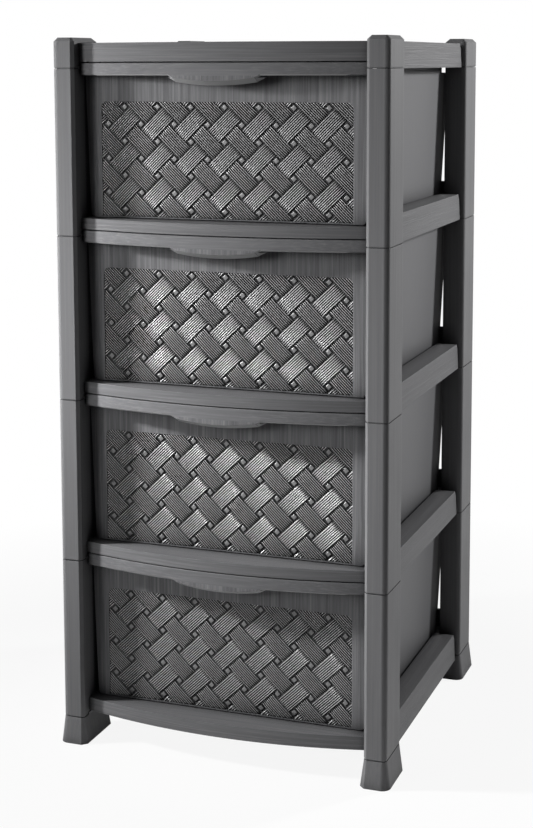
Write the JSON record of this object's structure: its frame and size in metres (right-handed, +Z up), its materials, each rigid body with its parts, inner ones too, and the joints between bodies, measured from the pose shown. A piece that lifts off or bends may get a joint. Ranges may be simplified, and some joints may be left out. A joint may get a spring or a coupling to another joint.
{
  "type": "drawer storage tower",
  "caption": "Free-standing plastic storage tower: pull-out bins with basket-weave fronts and bowed finger lips, on shelves held between stacked corner posts with flared feet.",
  "frame": {"origin": "on the floor, under the middle of the whole footprint", "axes": "+Z up, +X to the right across the front, -Y out of the drawer fronts"},
  "size_m": [0.4, 0.416, 0.82],
  "materials": {
    "shelf_plastic": "moulded anthracite plastic with a fine lengthwise wood grain",
    "post_plastic": "smooth satin anthracite plastic",
    "drawer_plastic": "moulded anthracite plastic, smooth sides, grained and woven front"
  },
  "bodies": {
    "frame": {"top_shelf": "shelf_plastic", "upper_shelf": "shelf_plastic", "middle_shelf": "shelf_plastic", "lower_shelf": "shelf_plastic", "bottom_shelf": "shelf_plastic", "post_front_left_1": "post_plastic", "post_front_left_2": "post_plastic", "post_front_left_3": "post_plastic", "post_front_left_4": "post_plastic", "post_front_right_1": "post_plastic", "post_front_right_2": "post_plastic", "post_front_right_3": "post_plastic", "post_front_right_4": "post_plastic", "post_rear_left_1": "post_plastic", "post_rear_left_2": "post_plastic", "post_rear_left_3": "post_plastic", "post_rear_left_4": "post_plastic", "post_rear_right_1": "post_plastic", "post_rear_right_2": "post_plastic", "post_rear_right_3": "post_plastic", "post_rear_right_4": "post_plastic", "cap_front_left": "post_plastic", "cap_front_right": "post_plastic", "cap_rear_left": "post_plastic", "cap_rear_right": "post_plastic", "foot_front_left": "post_plastic", "foot_front_right": "post_plastic", "foot_rear_left": "post_plastic", "foot_rear_right": "post_plastic"},
    "top_drawer_body": {"top_drawer": "drawer_plastic"},
    "upper_drawer_body": {"upper_drawer": "drawer_plastic"},
    "lower_drawer_body": {"lower_drawer": "drawer_plastic"},
    "bottom_drawer_body": {"bottom_drawer": "drawer_plastic"}
  },
  "joints": [
    {"name": "top_drawer_slide", "type": "slide", "parent": "frame", "child": "top_drawer_body", "axis": [0, -1, 0], "range_m": [0, 0.27]},
    {"name": "upper_drawer_slide", "type": "slide", "parent": "frame", "child": "upper_drawer_body", "axis": [0, -1, 0], "range_m": [0, 0.27]},
    {"name": "lower_drawer_slide", "type": "slide", "parent": "frame", "child": "lower_drawer_body", "axis": [0, -1, 0], "range_m": [0, 0.27]},
    {"name": "bottom_drawer_slide", "type": "slide", "parent": "frame", "child": "bottom_drawer_body", "axis": [0, -1, 0], "range_m": [0, 0.27]}
  ]
}
